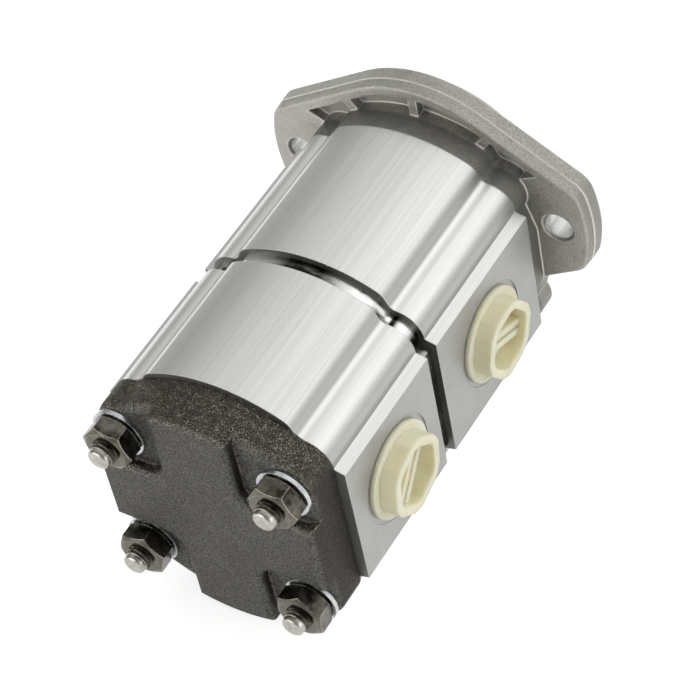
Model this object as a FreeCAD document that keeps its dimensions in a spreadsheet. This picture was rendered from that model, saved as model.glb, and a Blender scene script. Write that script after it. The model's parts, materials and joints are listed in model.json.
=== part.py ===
"""Tandem external gear pump with a two-bolt mounting flange.

Frame: +Y along the drive shaft towards its keyed end, +Z up from the driven gears to the drive
gears, +X out of the visible ports.  The origin is on the drive shaft's axis, in the flange's
mounting face.  All sizes are millimetres.
"""
import FreeCAD, Part
import math
import os
import re

import Sketcher

doc = FreeCAD.newDocument("tandem_gear_pump")
sheet = doc.addObject("Spreadsheet::Sheet", "Sizes")

# Driving dimensions: alias, value in millimetres or degrees, meaning
SIZES = [
    ("axis_offset", 15.5, "from the pump's middle to either gear axis"),
    ("bolt_offset_x", 32.5, "tie stud from the middle, sideways"),
    ("stud_below_crown", 13.24, "tie stud below the crown's arc above it"),
    ("flange_thickness", 10.0, "mounting flange, front to rear face"),
    ("flange_front_lip", 5.6, "thickness of the flange in front of its parting line"),
    ("parting_step", 0.35, "step of the casting's parting line"),
    ("hub_length", 9.2, "front cover behind the flange"),
    ("hub_recess", 3.0, "hub's front end behind the mounting face"),
    ("hub_half_width", 44.6, "front cover's hub, half its width"),
    ("hub_side_half_height", 12.0, "flat side of the hub, half its height"),
    ("hub_waist", 5.0, "where the hub's side meets the boss, below the tie stud"),
    ("front_body_length", 65.0, "front pump body"),
    ("plate_thickness", 6.3, "intermediate plate"),
    ("rear_body_length", 55.0, "rear pump body"),
    ("body_half_width", 46.8, "port face from the middle"),
    ("port_face_drop", 1.199047, "edge of the flat port face, below the tie stud"),
    ("strip_rise", 1.1, "slope of the narrow strip beside the port face"),
    ("body_half_height", 51.8, "crown of the body from the middle"),
    ("crown_radius", 58.0, "radius of the body's crown"),
    ("crown_half_width", 28.2, "half the width of the crown"),
    ("boss_radius", 10.0, "rounded boss around a tie stud"),
    ("boss_lead", 1.4, "where the crown's side wall meets the boss"),
    ("crown_corner_radius", 7.0, "rounding of the crown's outer corner"),
    ("valley_radius", 3.2, "fillet between crown and boss"),
    ("plate_inset", 2.6, "intermediate plate inside the bodies' outline"),
    ("bore_radius", 18.2, "gear chamber"),
    ("gear_tip_clearance", 0.08, "tooth tip to the chamber wall"),
    ("block_clearance", 0.05, "bearing block to the chamber wall"),
    ("block_length", 19.0, "bearing block along the axis"),
    ("side_clearance", 0.05, "axial play beside a gear or a block"),
    ("tooth_count", 12, "teeth on every gear"),
    ("pressure_angle", 25.0, "involute pressure angle in degrees"),
    ("root_depth", 1.2, "tooth root below the pitch circle, in modules"),
    ("backlash", 0.16, "play between meshed teeth at the pitch circle"),
    ("journal_radius", 9.0, "gear shaft journal"),
    ("bush_clearance", 0.03, "journal to bush, radial"),
    ("bush_wall", 1.0, "plain bearing bush"),
    ("bush_inset", 1.0, "bush end inside the block's face"),
    ("journal_end_gap", 0.6, "journal end short of the block's outer face"),
    ("shaft_radius", 7.9375, "keyed shaft end"),
    ("shaft_reach", 31.75, "keyed shaft end beyond the mounting face"),
    ("shaft_chamfer", 1.2, "chamfer on the shaft's end"),
    ("seal_land_radius", 8.5, "shaft under the lip seal"),
    ("key_width", 3.97, "parallel key"),
    ("key_length", 19.0, "parallel key, along the shaft"),
    ("key_inset", 3.0, "key's end behind the shaft's end"),
    ("keyway_depth", 2.3, "keyway below the shaft's surface"),
    ("coupling_radius", 9.2, "coupling disc between the two drive shafts"),
    ("tongue_width", 5.0, "coupling tongue"),
    ("tongue_reach", 4.0, "coupling tongue into each shaft"),
    ("coupling_play", 0.1, "play of the coupling in slots and plate"),
    ("stud_radius", 5.0, "tie stud"),
    ("stud_hole_clearance", 0.25, "tie stud in the bodies, radial"),
    ("stud_thread_depth", 13.0, "tie stud into the front cover"),
    ("stud_tip_reach", 5.2, "tie stud beyond its nut"),
    ("stud_tip_length", 2.6, "length of the stud's turned tip"),
    ("stud_tip_radius", 4.1, "stud's turned tip"),
    ("stud_tip_chamfer", 0.8, "chamfers on the stud's tip and thread"),
    ("nut_width", 17.0, "nut across its flats"),
    ("nut_height", 8.0, "nut along the stud"),
    ("nut_face_radius", 7.6, "nut's round end face"),
    ("nut_turn_1", 10.0, "turn of the upper left nut, in degrees"),
    ("nut_turn_2", 2.4, "turn of the upper right nut, in degrees"),
    ("nut_turn_3", -26.0, "turn of the lower right nut, in degrees"),
    ("nut_turn_4", -12.6, "turn of the lower left nut, in degrees"),
    ("washer_radius", 10.0, "washer outside"),
    ("washer_thickness", 1.6, "washer"),
    ("cover_seat_thickness", 14.1, "rear cover under the washers"),
    ("cover_island_rise", 4.6, "rear cover's raised cross above the washer seats"),
    ("cover_inset", 1.9, "rear cover inside the body's crown"),
    ("cover_lobe_radius", 10.5, "rear cover's lobe round a tie stud"),
    ("cover_valley_radius", 6.0, "fillet between the rear cover's crown and lobe"),
    ("cover_edge_radius", 4.0, "rounding of the cover's shoulder"),
    ("island_arm_gap", 16.9, "side of the cross's upright from the tie stud"),
    ("island_bar_gap", 12.799047, "edge of the cross's bar from the tie stud"),
    ("island_inner_radius", 8.0, "inner corners of the cross"),
    ("island_inset", 0.2, "cross inside the cover's outline"),
    ("island_edge_radius", 2.6, "rounding of the cross's edge"),
    ("bolt_circle_half", 53.2, "mounting hole from the shaft axis"),
    ("mount_hole_radius", 5.6, "mounting hole"),
    ("mount_hole_chamfer", 0.9, "chamfer of a mounting hole"),
    ("flange_arc_radius", 48.0, "flange arc about the shaft axis"),
    ("ear_corner_x", 54.0, "ear corner's centre, sideways"),
    ("ear_corner_z", 12.0, "ear corner's centre, up or down"),
    ("ear_corner_radius", 10.0, "ear corner"),
    ("ear_end_radius", 60.0, "slightly rounded end of an ear"),
    ("flange_edge_radius", 1.1, "rounding of the flange's rear edge"),
    ("rim_width", 4.4, "rim around the flange's rear pockets"),
    ("pocket_depth", 4.0, "pockets in the flange's rear face"),
    ("rib_width", 3.4, "rib between two pockets"),
    ("rib_angle", 40.0, "between the middle rib and the next, in degrees"),
    ("ear_rib_angle", 64.0, "between the middle rib and the ear, in degrees"),
    ("pilot_radius", 41.275, "pilot spigot"),
    ("pilot_height", 6.35, "pilot spigot beyond the mounting face"),
    ("pilot_chamfer", 1.0, "chamfer of the pilot's edge"),
    ("seal_radius", 16.0, "lip seal outside"),
    ("seal_width", 7.0, "lip seal along the shaft"),
    ("seal_wall", 1.6, "lip seal's wall"),
    ("seal_gap", 0.05, "lip seal's lip to the shaft"),
    ("seal_inset", 2.2, "lip seal's front face behind the pilot's face"),
    ("circlip_depth", 0.9, "retaining ring into its groove"),
    ("circlip_width", 2.4, "retaining ring, radial"),
    ("circlip_thickness", 1.2, "retaining ring along the shaft"),
    ("circlip_gap", 7.0, "opening of the retaining ring"),
    ("cover_bore_radius", 10.6, "shaft clearance through the front cover"),
    ("port_radius", 13.0, "threaded port"),
    ("port_depth", 20.0, "threaded port from the port face"),
    ("duct_radius", 9.0, "duct from the port to the gear chamber"),
    ("spotface_radius", 20.0, "machined seat round a port"),
    ("spotface_depth", 0.6, "machined seat round a port"),
    ("plug_flange_radius", 17.9, "port plug's thin flange"),
    ("plug_flange_thickness", 1.8, "port plug's thin flange"),
    ("plug_head_width", 28.4, "port plug's head across its flats"),
    ("plug_corner_radius", 14.9, "port plug's rounded corners from its axis"),
    ("plug_head_height", 6.6, "port plug's head beyond its flange"),
    ("plug_thread_length", 12.0, "port plug inside the port"),
    ("plug_recess_width", 21.8, "six-sided recess in the plug's head, across its flats"),
    ("plug_recess_radius", 11.7, "rounded corners of the recess from the plug's axis"),
    ("plug_recess_depth", 7.2, "recess in the plug's head"),
    ("plug_bar", 2.5, "either bar across the plug's recess"),
    ("plug_bar_gap", 1.4, "slot between the two bars"),
    ("plug_bar_drop", 2.8, "bars below the plug's face"),
    ("plug_bore_radius", 8.6, "hollow inside the plug's thread"),
    ("plug_floor", 2.6, "plug between its hollow and the recess"),
    ("plug_turn_front", -22.0, "turn of the front plugs, in degrees"),
    ("plug_turn_rear", 50.0, "turn of the rear plugs, in degrees"),
    ("ring_radius", 22.0, "body end seal's middle line round a gear axis"),
    ("ring_width", 2.4, "body end seal"),
    ("ring_depth", 1.9, "body end seal's groove"),
    ("block_seal_radius", 14.9, "block seal's middle line round a gear axis"),
    ("block_seal_width", 2.2, "block seal"),
    ("block_seal_depth", 2.4, "block seal's groove"),
    ("backup_thickness", 0.8, "backup strip under the block seal"),
    ("dowel_radius", 3.0, "dowel pin"),
    ("dowel_offset", 36.0, "dowel pin from the middle, sideways"),
    ("dowel_depth", 6.0, "dowel pin into each part"),
]
ALIASES = {alias for alias, _, _ in SIZES}

for row, (alias, value, meaning) in enumerate(SIZES, start=1):
    sheet.set(f"A{row}", str(value))
    sheet.setAlias(f"A{row}", alias)
    sheet.set(f"B{row}", meaning)
doc.recompute()

# Stations along the shaft, from the mounting face to the rear
HUB = "(-flange_thickness - hub_length)"
PLATE_FRONT = f"({HUB} - front_body_length)"
PLATE_REAR = f"({PLATE_FRONT} - plate_thickness)"
COVER = f"({PLATE_REAR} - rear_body_length)"
SEAT = f"({COVER} - cover_seat_thickness)"
NUT_FACE = f"({SEAT} - washer_thickness)"
FRONT_PORT = f"({HUB} - front_body_length / 2)"
REAR_PORT = f"({PLATE_REAR} - rear_body_length / 2)"
MIDDLE = "(-axis_offset)"
DRIVEN_AXIS = "(-2 * axis_offset)"

# Height of the tie studs above and below the pump's middle, under the crown's arc
CROWN_RISE = "(body_half_height - crown_radius)"
BOLT_Z = f"({CROWN_RISE} + sqrt(crown_radius ^ 2 - bolt_offset_x ^ 2) - stud_below_crown)"
PORT_FACE_Z = f"({BOLT_Z} - port_face_drop)"
HUB_SIDE = ("hub_half_width", "hub_side_half_height", f"({BOLT_Z} - hub_waist)")
CORNERS = [(-1, 1), (1, 1), (1, -1), (-1, -1)]

ALONG_Y = FreeCAD.Rotation(FreeCAD.Vector(1, 0, 0), -90)
ALONG_X = FreeCAD.Rotation(FreeCAD.Vector(0, 1, 0), 90)
ALONG_MINUS_X = FreeCAD.Rotation(FreeCAD.Vector(0, 1, 0), -90)

parts = {}


def bound(text):
    """The same expression with each size named in the spreadsheet."""
    return re.sub(r"[a-z_]+", lambda m: "Sizes." + m.group() if m.group() in ALIASES else m.group(), text)


def number(text):
    """Present value of an expression, for seeds and for shapes made by formula."""
    value = sheet.evalExpression(text)
    return float(getattr(value, "Value", value))


def bind(item, **sizes):
    for name, text in sizes.items():
        item.setExpression(name, bound(text))
    return item


def place(item, x="0", y="0", z="0", rotation=None):
    """Seat an object by expressions, after an optional fixed rotation."""
    item.Placement = FreeCAD.Placement(FreeCAD.Vector(), rotation or FreeCAD.Rotation())
    for axis, text in (("x", x), ("y", y), ("z", z)):
        item.setExpression(f"Placement.Base.{axis}", bound(text))
    return item


def box(name, low, size):
    item = doc.addObject("Part::Box", name)
    bind(item, Length=size[0], Width=size[1], Height=size[2])
    return place(item, *low)


def rod(name, radius, length, x="0", y="0", z="0", rotation=ALONG_Y):
    """A cylinder from its rear end, along +Y unless told otherwise."""
    item = doc.addObject("Part::Cylinder", name)
    bind(item, Radius=radius, Height=length)
    return place(item, x, y, z, rotation)


def cone(name, first, second, length, x="0", y="0", z="0", rotation=ALONG_Y):
    item = doc.addObject("Part::Cone", name)
    bind(item, Radius1=first, Radius2=second, Height=length)
    return place(item, x, y, z, rotation)


def fuse(name, pieces):
    item = doc.addObject("Part::MultiFuse", name)
    item.Shapes = pieces
    return item


def common(name, pieces):
    item = doc.addObject("Part::MultiCommon", name)
    item.Shapes = pieces
    return item


def cut(name, base, tools):
    item = doc.addObject("Part::Cut", name)
    item.Base = base
    item.Tool = tools[0] if len(tools) == 1 else fuse(f"{name}_tools", tools)
    return item


def keep(item, node):
    """Name a finished sub-part."""
    item.Label = node
    parts[node] = item
    return item


def seated_body(name, x="0", y="0", z="0", rotation=None):
    return place(doc.addObject("PartDesign::Body", name), x, y, z, rotation)


def sketch_on(body, name, role):
    sketch = body.newObject("Sketcher::SketchObject", name)
    plane = [plane for plane in body.Origin.OriginFeatures if plane.Role == role][0]
    sketch.AttachmentSupport = [(plane, "")]
    sketch.MapMode = "FlatFace"
    return sketch


def pin_point(sketch, edge, end, axis, text):
    """Hold one coordinate of a sketch point to an expression."""
    value = number(text)
    if abs(value) < 1e-9:
        kind = "PointOnObject"
        sketch.addConstraint(Sketcher.Constraint(kind, edge, end, -2 if axis == "x" else -1))
        return
    kind = "DistanceX" if axis == "x" else "DistanceY"
    if value > 0:
        rule = Sketcher.Constraint(kind, -1, 1, edge, end, value)
        expression = bound(text)
    else:
        rule = Sketcher.Constraint(kind, edge, end, -1, 1, -value)
        expression = bound(f"-({text})")
    index = sketch.addConstraint(rule)
    sketch.setExpression(f"Constraints[{index}]", expression)


def draw(sketch, corners):
    """Close an outline through corners (x, y, held, arc).

    held names the coordinates that are fixed by their own dimensions; the rest follow from arcs.
    arc describes the edge that leaves the corner: None for a line, or (x, y, radius) of its centre,
    swept counter-clockwise, or clockwise where the radius starts with a minus.  A radius that starts
    with ~ is only the first guess: the arc's ends settle it and the centre's height.
    """
    spots = [(number(corner[0]), number(corner[1])) for corner in corners]
    ends = []
    for index, corner in enumerate(corners):
        start, stop = spots[index], spots[(index + 1) % len(spots)]
        arc = corner[3] if len(corner) > 3 else None
        if arc is None:
            line = Part.LineSegment(FreeCAD.Vector(*start, 0), FreeCAD.Vector(*stop, 0))
            ends.append((sketch.addGeometry(line), 1, 2))
            continue
        centre = (number(arc[0]), number(arc[1]))
        clockwise = arc[2].startswith("-")
        radius = arc[2].lstrip("-~")
        first = math.atan2(start[1] - centre[1], start[0] - centre[0])
        last = math.atan2(stop[1] - centre[1], stop[0] - centre[0])
        if clockwise:
            first, last = last, first
        if last <= first:
            last += 2 * math.pi
        circle = Part.Circle(FreeCAD.Vector(*centre, 0), FreeCAD.Vector(0, 0, 1), number(radius))
        edge = sketch.addGeometry(Part.ArcOfCircle(circle, first, last))
        pin_point(sketch, edge, 3, "x", arc[0])
        if not arc[2].startswith("~"):
            pin_point(sketch, edge, 3, "y", arc[1])
            rule = sketch.addConstraint(Sketcher.Constraint("Radius", edge, number(radius)))
            sketch.setExpression(f"Constraints[{rule}]", bound(radius))
        ends.append((edge, 2, 1) if clockwise else (edge, 1, 2))
    for index, (edge, _, out) in enumerate(ends):
        nearest, start, _ = ends[(index + 1) % len(ends)]
        sketch.addConstraint(Sketcher.Constraint("Coincident", edge, out, nearest, start))
    for (edge, start, _), corner in zip(ends, corners):
        for axis, text in zip("xy", corner[:2]):
            if axis in corner[2]:
                pin_point(sketch, edge, start, axis, text)
    return sketch


def padded(body, sketch, name, length):
    """Pad towards -Y from a sketch on the body's XZ plane."""
    pad = body.newObject("PartDesign::Pad", name)
    pad.Profile = sketch
    bind(pad, Length=length)
    return pad


def turned(name, corners, x="0", y="0", z="0", rotation=None):
    """Revolve a half section of (radius, station) corners about the body's own Y axis."""
    body = seated_body(name, x, y, z, rotation)
    sketch = sketch_on(body, f"{name}_section", "XY_Plane")
    draw(sketch, [(radius, station, "xy") for radius, station in corners])
    turn = body.newObject("PartDesign::Revolution", f"{name}_turn")
    turn.Profile = sketch
    turn.ReferenceAxis = (sketch, ["V_Axis"])
    turn.Angle = 360
    return body


def pump_outline(sketch, inset="0", side=None):
    """Outline of the extruded bodies: two crowns, four stud bosses and two flat sides.

    side gives a piece its own flat side: half width, half height and where it meets the boss.
    """
    crown = f"(crown_radius - {inset})"
    crown_x = f"(crown_half_width - {inset})"
    crown_z = f"({CROWN_RISE} + sqrt({crown} ^ 2 - {crown_x} ^ 2))"
    boss = f"(boss_radius - {inset})"
    lead_x = "(bolt_offset_x - boss_lead)"
    lead_z = f"({BOLT_Z} + sqrt({boss} ^ 2 - boss_lead ^ 2))"
    face_x, face_z, strip_z = side or (
        f"(body_half_width - {inset})",
        f"({PORT_FACE_Z} - {inset})",
        f"({PORT_FACE_Z} + strip_rise - {inset})",
    )
    strip_x = f"(bolt_offset_x + sqrt({boss} ^ 2 - ({BOLT_Z} - {strip_z}) ^ 2))"

    corners = []
    for side_sign, top in ((1, 1), (-1, 1), (-1, -1), (1, -1)):
        right, up = ("" if side_sign > 0 else "-"), ("" if top > 0 else "-")
        stud = (f"{right}bolt_offset_x", f"{up}{BOLT_Z}", boss)
        middle = ("0", f"{up}{CROWN_RISE}", crown)
        climb = [
            (f"{right}{face_x}", f"{up}{face_z}", "xy"),
            (f"{right}{strip_x}", f"{up}{strip_z}", "y", stud),
            (f"{right}{lead_x}", f"{up}{lead_z}", "x"),
            (f"{right}{crown_x}", f"{up}{crown_z}", "x", middle),
        ]
        if side_sign * top < 0:
            climb = [
                (f"{right}{crown_x}", f"{up}{crown_z}", "x"),
                (f"{right}{lead_x}", f"{up}{lead_z}", "x", stud),
                (f"{right}{strip_x}", f"{up}{strip_z}", "y"),
                (f"{right}{face_x}", f"{up}{face_z}", "xy"),
            ]
        corners += climb
    return draw(sketch, corners)


def edges_at(shape, x, z):
    """Lengthwise edges at one place of the outline and its three mirror images."""
    low = number(MIDDLE)
    return [
        index for index, edge in enumerate(shape.Edges, start=1)
        if edge.BoundBox.XLength < 1e-4 and edge.BoundBox.ZLength < 1e-4
        and abs(abs(edge.BoundBox.XMin) - number(x)) < 1e-3
        and abs(abs(edge.BoundBox.ZMin - low) - number(z)) < 1e-3
    ]


def pump_blank(name, front, length, inset="0", side=None):
    """Bare extrusion of the pump's outline, from its front face back, with soft lengthwise edges."""
    body = seated_body(name, y=front, z=MIDDLE)
    sketch = pump_outline(sketch_on(body, f"{name}_outline", "XZ_Plane"), inset, side)
    body.Tip = padded(body, sketch, f"{name}_pad", length)
    doc.recompute()
    crown_x = f"(crown_half_width - {inset})"
    crown_z = f"({CROWN_RISE} + sqrt((crown_radius - {inset}) ^ 2 - {crown_x} ^ 2))"
    dressed(body, "Fillet", edges_at(body.Shape, crown_x, crown_z), Radius="crown_corner_radius")
    lead_z = f"({BOLT_Z} + sqrt((boss_radius - {inset}) ^ 2 - boss_lead ^ 2))"
    valley = edges_at(body.Shape, "(bolt_offset_x - boss_lead)", lead_z)
    return dressed(body, "Fillet", valley, Radius="valley_radius")


def at_studs(make):
    """One object at each tie stud, numbered clockwise from the top left as seen from the rear."""
    return [
        make(index, f"{side} * bolt_offset_x", f"{MIDDLE} + {top} * {BOLT_Z}")
        for index, (side, top) in enumerate(CORNERS, start=1)
    ]


def stud_holes(name, rear, length, radius):
    return at_studs(lambda index, x, z: rod(f"{name}_stud_hole_{index}", radius, length, x, rear, z))


def dowel_holes(name, rear, length):
    return [
        rod(f"{name}_dowel_hole_{index}", "dowel_radius", length, f"{side} * dowel_offset", rear, MIDDLE)
        for index, side in enumerate((-1, 1), start=1)
    ]


def racetrack(name, radius, rear, length):
    """A straight-sided oval round both gear axes."""
    ends = [
        rod(f"{name}_{end}", radius, length, y=rear, z=axis)
        for end, axis in (("drive", "0"), ("driven", DRIVEN_AXIS))
    ]
    low = (f"-{radius}", rear, DRIVEN_AXIS)
    sides = box(f"{name}_sides", low, (f"2 * {radius}", length, "2 * axis_offset"))
    return fuse(name, ends + [sides])


def end_seal(name, rear):
    outer = racetrack(f"{name}_outer", "(ring_radius + ring_width / 2)", rear, "ring_depth")
    inner = racetrack(f"{name}_inner", "(ring_radius - ring_width / 2)", rear, "ring_depth")
    return cut(name, outer, [inner])


def port_tools(name, station, side):
    """Spotface, thread and duct of the port on one side, from the face inwards."""
    turn = ALONG_X if side > 0 else ALONG_MINUS_X
    face = f"{side} * body_half_width"
    seat = rod(f"{name}_spotface", "spotface_radius", "2 * spotface_depth",
               f"{face} - {side} * spotface_depth", station, MIDDLE, turn)
    thread = rod(f"{name}_thread", "port_radius", "port_depth + spotface_depth",
                 f"{face} - {side} * port_depth", station, MIDDLE, turn)
    duct = rod(f"{name}_duct", "duct_radius", "body_half_width", "0", station, MIDDLE, turn)
    return [seat, thread, duct]


def pump_body(node, front, length, station, ring_names):
    """Extruded body with its gear chamber, two ports, stud and dowel holes and end seal grooves."""
    rear = f"({front} - {length})"
    blank = pump_blank(f"{node}_blank", front, length)
    tools = [
        rod(f"{node}_drive_bore", "bore_radius", length, y=rear, z="0"),
        rod(f"{node}_driven_bore", "bore_radius", length, y=rear, z=DRIVEN_AXIS),
    ]
    tools += stud_holes(node, rear, length, "(stud_radius + stud_hole_clearance)")
    tools += dowel_holes(f"{node}_front", f"({front} - dowel_depth)", "dowel_depth")
    tools += dowel_holes(f"{node}_rear", rear, "dowel_depth")
    for side, word in ((1, "right"), (-1, "left")):
        tools += port_tools(f"{node}_{word}", station, side)
    for seal, seat in zip(ring_names, (f"({front} - ring_depth)", rear)):
        tools.append(end_seal(f"{node}_{seal}_groove", seat))
        keep(end_seal(seal, seat), seal)
    return keep(cut(node, blank, tools), node)


def flange_outline(sketch, inset):
    """Two ears with slightly rounded ends, joined to an arc about the shaft by tangents."""
    arc = f"(flange_arc_radius - {inset})"
    ear = f"(ear_corner_radius - {inset})"
    end = f"(ear_end_radius - {inset})"
    reach = "sqrt(ear_corner_x ^ 2 + ear_corner_z ^ 2)"
    lean = (f"(atan(ear_corner_z / ear_corner_x)"
            f" + acos((flange_arc_radius - ear_corner_radius) / {reach}))")
    back = "sqrt((ear_end_radius - ear_corner_radius) ^ 2 - ear_corner_z ^ 2)"
    stretch = f"({end} / (ear_end_radius - ear_corner_radius))"
    end_x = f"(ear_corner_x - {back} + {back} * {stretch})"
    end_z = f"(ear_corner_z * {stretch})"
    corners = []
    for side, top in ((1, -1), (1, 1), (-1, 1), (-1, -1)):
        right, up = ("" if side > 0 else "-"), ("" if top > 0 else "-")
        ear_arc = (f"{right}ear_corner_x", f"{up}ear_corner_z", ear)
        touch = (f"{right}({arc} * cos({lean}))", f"{up}({arc} * sin({lean}))", "x")
        leave = (f"{right}(ear_corner_x + {ear} * cos({lean}))",
                 f"{up}(ear_corner_z + {ear} * sin({lean}))", "x")
        meet = (f"{right}{end_x}", f"{up}{end_z}", "y")
        if side * top < 0:
            end_arc = (f"{right}(ear_corner_x - {back})", "0", f"~{end}")
            corners += [touch, leave + (ear_arc,), meet + (end_arc,)]
        else:
            corners += [meet + (ear_arc,), leave, touch + (("0", "0", arc),)]
    return draw(sketch, corners)


def flange_slab(name, front, thickness, inset):
    body = seated_body(name, y=front)
    sketch = flange_outline(sketch_on(body, f"{name}_outline", "XZ_Plane"), inset)
    body.Tip = padded(body, sketch, f"{name}_pad", thickness)
    return body


def rear_edges(shape, station):
    """Outer edges that lie in one plane across the shaft."""
    return [
        index for index, edge in enumerate(shape.Edges, start=1)
        if abs(edge.BoundBox.YMin - station) < 1e-4 and abs(edge.BoundBox.YMax - station) < 1e-4
    ]


def rounded(name, base, edges, radius):
    """Fillet the listed edges of a finished shape."""
    item = doc.addObject("Part::Fillet", name)
    item.Base = base
    item.Edges = [(index, number(radius), number(radius)) for index in edges]
    return item


def dressed(body, kind, edges, **size):
    """Fillet or chamfer edges of a body's last feature."""
    base = body.Tip
    item = body.newObject(f"PartDesign::{kind}", f"{base.Name}_{kind.lower()}")
    item.Base = (base, [f"Edge{index}" for index in edges])
    body.Tip = bind(item, **size)
    doc.recompute()
    return body


def leaning(item, angle, half, y):
    """Turn a box about the shaft, its own middle line leaning by an angle from upright."""
    item.Placement = FreeCAD.Placement(FreeCAD.Vector(), FreeCAD.Rotation(FreeCAD.Vector(0, 1, 0), 1))
    item.setExpression("Placement.Rotation.Angle", bound(angle))
    item.setExpression("Placement.Base.x", bound(f"-({half}) * cos({angle} * 1 deg)"))
    item.setExpression("Placement.Base.y", bound(y))
    item.setExpression("Placement.Base.z", bound(f"({half}) * sin({angle} * 1 deg)"))
    return item


def flange_pockets():
    """Cored pockets in the flange's rear face, between its rim, the hub and radial ribs."""
    rear = "-flange_thickness"
    front = "(pocket_depth - flange_thickness)"
    far = "(2 * flange_arc_radius)"
    slab = flange_slab("pocket_slab", front, "pocket_depth", "rim_width")
    high = box("pocket_upper_half", (f"-{far}", rear, "0"), (f"2 * {far}", "pocket_depth", far))
    solids = [pump_blank("pocket_hub", front, "pocket_depth", side=HUB_SIDE)]
    for index, angle in enumerate(("0", "rib_angle", "-rib_angle"), start=1):
        rib = box(f"flange_rib_{index}", ("0", rear, "0"), ("rib_width", "pocket_depth", far))
        solids.append(leaning(rib, angle, "rib_width / 2", rear))
    for name, angle, half in (("right", "ear_rib_angle", "0"), ("left", "-ear_rib_angle", far)):
        ear = box(f"flange_ear_{name}", ("0", rear, "0"), (far, "pocket_depth", far))
        solids.append(leaning(ear, angle, half, rear))
    return cut("flange_pockets", common("pocket_field", [slab, high]), solids)


def front_cover():
    """Mounting flange with pilot, hub in the bodies' outline, seal housing and stud threads."""
    lip = flange_slab("flange_front", "0", "flange_front_lip", "0")
    behind_lip = "flange_thickness - flange_front_lip"
    back = flange_slab("flange_rear", "-flange_front_lip", behind_lip, "parting_step")
    doc.recompute()
    edges = rear_edges(back.Shape, number("-flange_thickness"))
    dressed(back, "Fillet", edges, Radius="flange_edge_radius")
    hub = pump_blank("cover_hub", "-hub_recess", f"(-hub_recess - {HUB})", side=HUB_SIDE)
    pilot = turned("pilot", [
        ("0", "-hub_recess"),
        ("pilot_radius", "-hub_recess"),
        ("pilot_radius", "(pilot_height - pilot_chamfer)"),
        ("(pilot_radius - pilot_chamfer)", "pilot_height"),
        ("0", "pilot_height"),
    ])
    solid = fuse("cover_casting", [lip, back, hub, pilot])
    seal_floor = "(pilot_height - seal_inset - seal_width)"
    groove = "(pilot_height - seal_inset)"
    tools = [
        flange_pockets(),
        rod("cover_shaft_bore", "cover_bore_radius", f"(pilot_height - {HUB})", y=HUB),
        rod("seal_pocket", "seal_radius", "seal_width + seal_inset", y=seal_floor),
        rod("circlip_groove", "(seal_radius + circlip_depth)", "circlip_thickness", y=groove),
    ]
    for side, word in ((1, "right"), (-1, "left")):
        x = f"{side} * bolt_circle_half"
        tools.append(rod(f"mount_hole_{word}", "mount_hole_radius", "2 * flange_thickness",
                         x, "-1.5 * flange_thickness"))
        wide = "(mount_hole_radius + mount_hole_chamfer)"
        tools.append(cone(f"mount_chamfer_{word}", wide, "mount_hole_radius", "mount_hole_chamfer",
                          x, "-flange_thickness"))
    tools += stud_holes("cover", HUB, "stud_thread_depth", "stud_radius")
    tools += dowel_holes("cover", HUB, "dowel_depth")
    keep(cut("front_cover", solid, tools), "front_cover")


def shaft_seal_parts():
    """Lip seal and the retaining ring in front of it."""
    floor = "(pilot_height - seal_inset - seal_width)"
    inner = "(seal_radius - seal_wall)"
    lip = "(seal_land_radius + seal_gap)"
    seal = turned("lip_seal", [
        ("seal_radius", "0"),
        ("seal_radius", "seal_width"),
        (lip, "seal_width"),
        (lip, "(seal_width - seal_wall)"),
        (f"({lip} + seal_wall)", "seal_wall"),
        (lip, "(seal_wall / 2)"),
        (lip, "0"),
        (f"({lip} + 2 * seal_wall)", "0"),
        (f"({lip} + 2 * seal_wall)", "(seal_width - 1.5 * seal_wall)"),
        (inner, "(seal_width - 1.5 * seal_wall)"),
        (inner, "0"),
    ], y=floor)
    keep(seal, "shaft_seal")
    station = "(pilot_height - seal_inset)"
    outer = "(seal_radius + circlip_depth)"
    ring = rod("circlip_outer", outer, "circlip_thickness", y=station)
    hole = rod("circlip_inner", f"({outer} - circlip_width)", "circlip_thickness", y=station)
    gap = box("circlip_opening", ("-circlip_gap / 2", station, "0"),
              ("circlip_gap", "circlip_thickness", "2 * seal_radius"))
    keep(cut("seal_circlip", ring, [hole, gap]), "seal_circlip")


def intermediate_plate():
    """Plate between the two pumps, recessed from their outline, with the coupling's opening."""
    blank = pump_blank("plate_blank", PLATE_FRONT, "plate_thickness", "plate_inset")
    tools = stud_holes("plate", PLATE_REAR, "plate_thickness", "(stud_radius + stud_hole_clearance)")
    tools += dowel_holes("plate", PLATE_REAR, "plate_thickness")
    bore = "(coupling_radius + coupling_play)"
    tools.append(rod("plate_coupling_bore", bore, "plate_thickness", y=PLATE_REAR))
    keep(cut("intermediate_plate", blank, tools), "intermediate_plate")


def crossing(first, second):
    """Where two circles (x, z, radius) meet, the point nearer to the middle sideways."""
    (x, z, r), (u, w, t) = [[number(text) for text in circle] for circle in (first, second)]
    gap = math.hypot(u - x, w - z)
    along = (gap * gap + r * r - t * t) / (2 * gap)
    across = math.sqrt(r * r - along * along)
    spots = [
        (
            x + ((u - x) * along - side * (w - z) * across) / gap,
            z + ((w - z) * along + side * (u - x) * across) / gap,
        )
        for side in (-1, 1)
    ]
    return min(spots, key=lambda spot: abs(spot[0]))


def cover_circles(inset, right="", up=""):
    """Circles of the rear cover's outline in one quadrant: lobe round the stud, and crown."""
    lobe = (f"{right}bolt_offset_x", f"{up}{BOLT_Z}", f"(cover_lobe_radius - {inset})")
    return lobe, ("0", f"{up}{CROWN_RISE}", f"(crown_radius - cover_inset - {inset})")


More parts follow.
